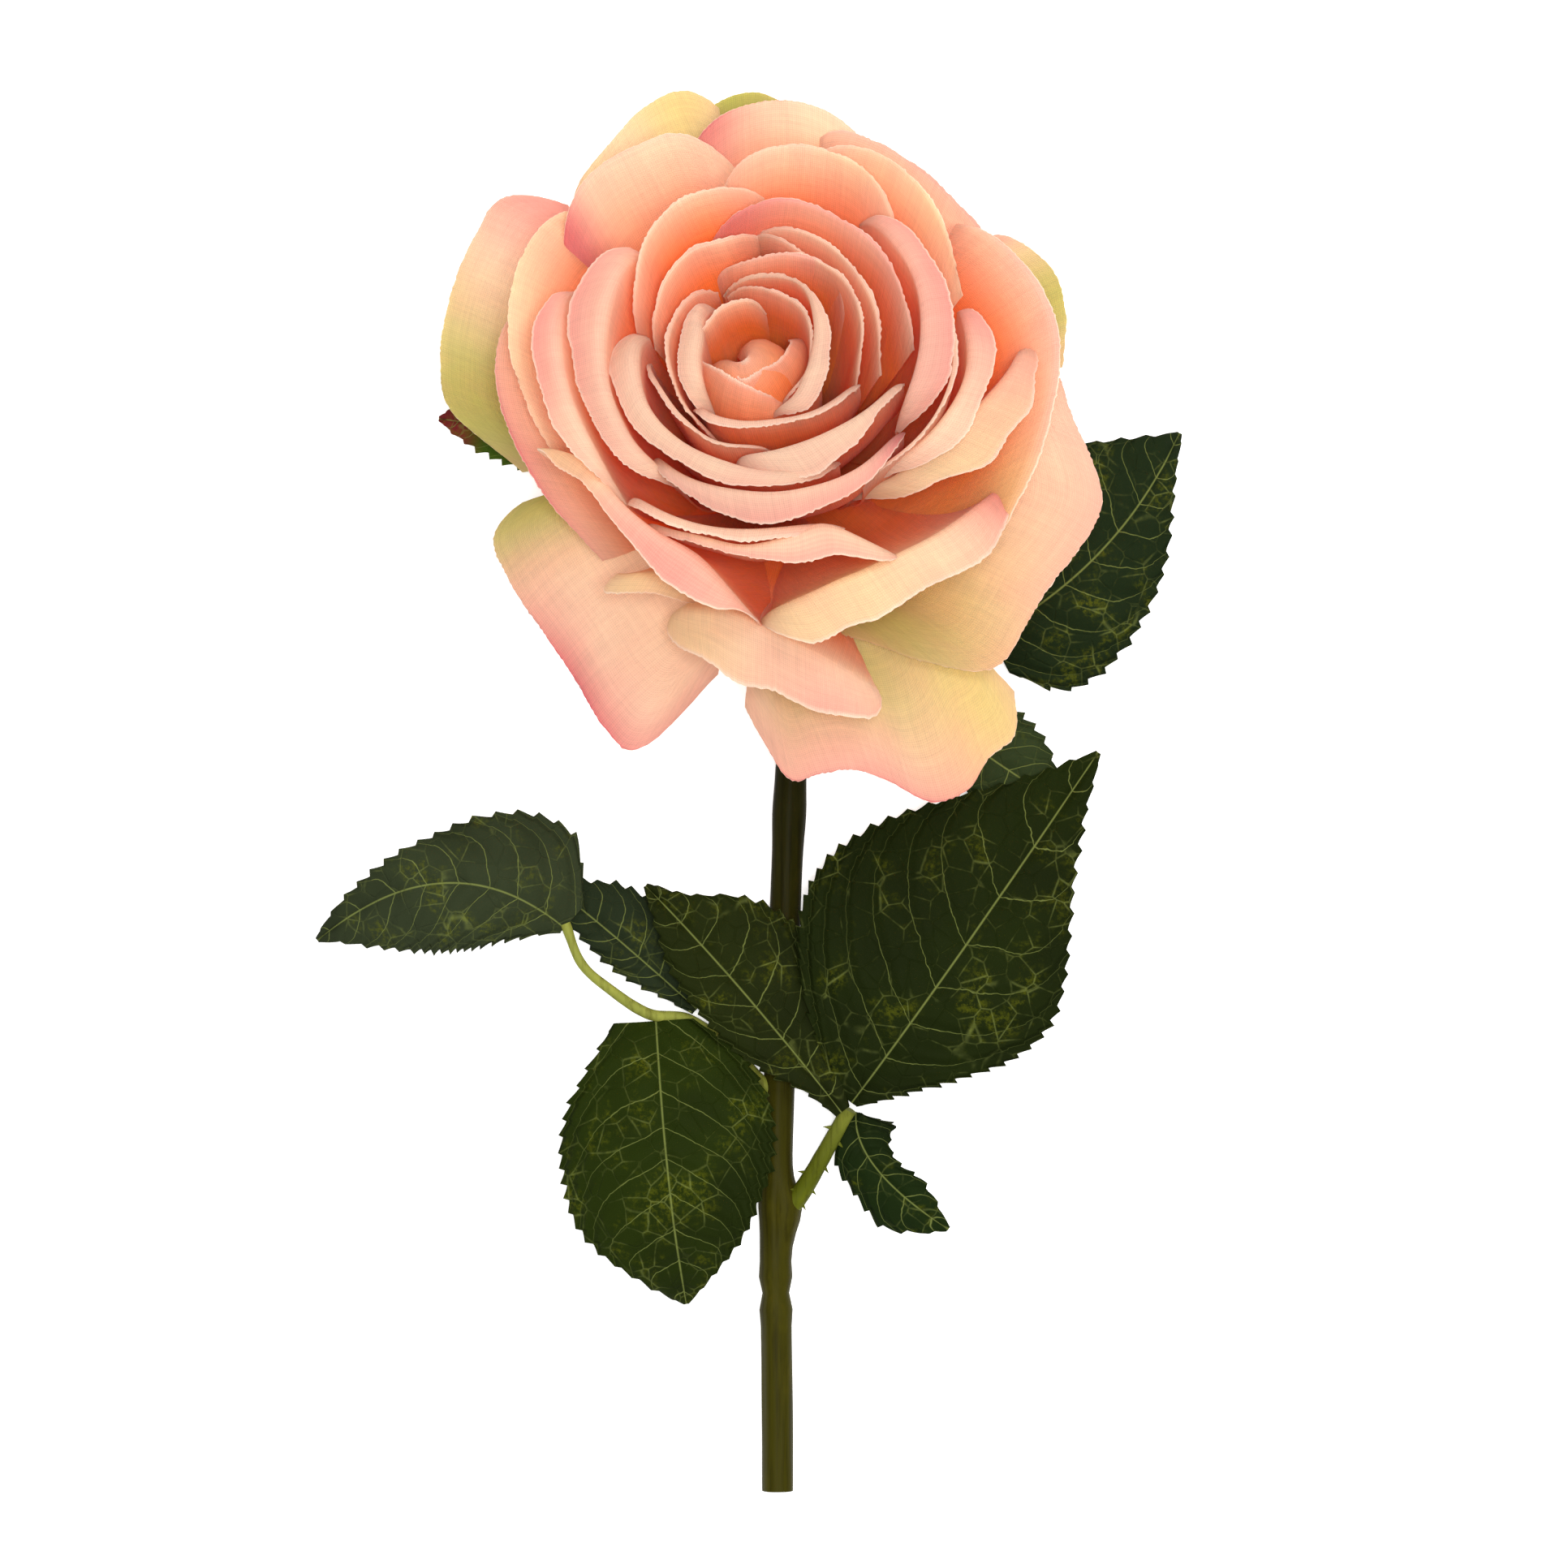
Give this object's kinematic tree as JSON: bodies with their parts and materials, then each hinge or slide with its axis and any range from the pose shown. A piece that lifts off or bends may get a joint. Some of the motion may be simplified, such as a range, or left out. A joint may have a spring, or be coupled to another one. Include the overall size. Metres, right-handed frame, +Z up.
{
  "type": "artificial cut rose",
  "caption": "Artificial garden rose lying on its side: a full bloom of curled cloth petals on a bent stem with sprays of toothed cloth leaves.",
  "frame": {"origin": "centre of the bounding box of the whole rose, on the surface that it lies on", "axes": "+Y from the cut end of the stem towards the flower, +Z up from the surface, +X to the right seen from above with the flower at the far end"},
  "size_m": [0.1633, 0.2639, 0.0851],
  "materials": {
    "petal_cloth": "woven peach cloth, matt, cream to pink at the edges",
    "guard_petal_cloth": "woven peach cloth shaded yellow-green, pink at the edges",
    "leaf_cloth": "printed dark green cloth with pale veins, slight sheen",
    "stem_plastic": "moulded olive plastic, satin",
    "calyx_plastic": "moulded green plastic, satin",
    "stalk_plastic": "moulded pale green plastic, satin"
  },
  "bodies": {
    "root": {"stem": "stem_plastic", "calyx": "calyx_plastic", "heart_petal_1": "petal_cloth", "heart_petal_2": "petal_cloth", "heart_petal_3": "petal_cloth", "core_petal_1": "petal_cloth", "core_petal_2": "petal_cloth", "core_petal_3": "petal_cloth", "core_petal_4": "petal_cloth", "core_petal_5": "petal_cloth", "core_petal_6": "petal_cloth", "core_petal_7": "petal_cloth", "inner_petal_1": "petal_cloth", "inner_petal_2": "petal_cloth", "inner_petal_3": "petal_cloth", "inner_petal_4": "petal_cloth", "inner_petal_5": "petal_cloth", "inner_petal_6": "petal_cloth", "ring_petal_1": "petal_cloth", "ring_petal_2": "petal_cloth", "ring_petal_3": "petal_cloth", "ring_petal_4": "petal_cloth", "ring_petal_5": "petal_cloth", "ring_petal_6": "petal_cloth", "ring_petal_7": "petal_cloth", "middle_petal_1": "petal_cloth", "middle_petal_2": "petal_cloth", "middle_petal_3": "petal_cloth", "middle_petal_4": "petal_cloth", "middle_petal_5": "petal_cloth", "middle_petal_6": "petal_cloth", "middle_petal_7": "petal_cloth", "middle_petal_8": "petal_cloth", "middle_petal_9": "petal_cloth", "outer_petal_1": "petal_cloth", "outer_petal_2": "petal_cloth", "outer_petal_3": "petal_cloth", "outer_petal_4": "petal_cloth", "outer_petal_5": "petal_cloth", "outer_petal_6": "petal_cloth", "outer_petal_7": "petal_cloth", "guard_petal_1": "guard_petal_cloth", "guard_petal_2": "guard_petal_cloth", "guard_petal_3": "guard_petal_cloth", "guard_petal_4": "guard_petal_cloth", "guard_petal_5": "guard_petal_cloth", "guard_petal_6": "guard_petal_cloth", "guard_petal_7": "guard_petal_cloth", "right_stalk": "stalk_plastic", "left_stalk": "stalk_plastic", "upper_right_stalk": "stalk_plastic", "right_big_leaf": "leaf_cloth", "right_cross_leaf": "leaf_cloth", "right_curled_leaf": "leaf_cloth", "left_far_leaf": "leaf_cloth", "left_under_leaf": "leaf_cloth", "left_low_leaf": "leaf_cloth", "upper_big_leaf": "leaf_cloth", "upper_small_leaf": "leaf_cloth", "back_left_leaf": "leaf_cloth"}
  },
  "joints": []
}
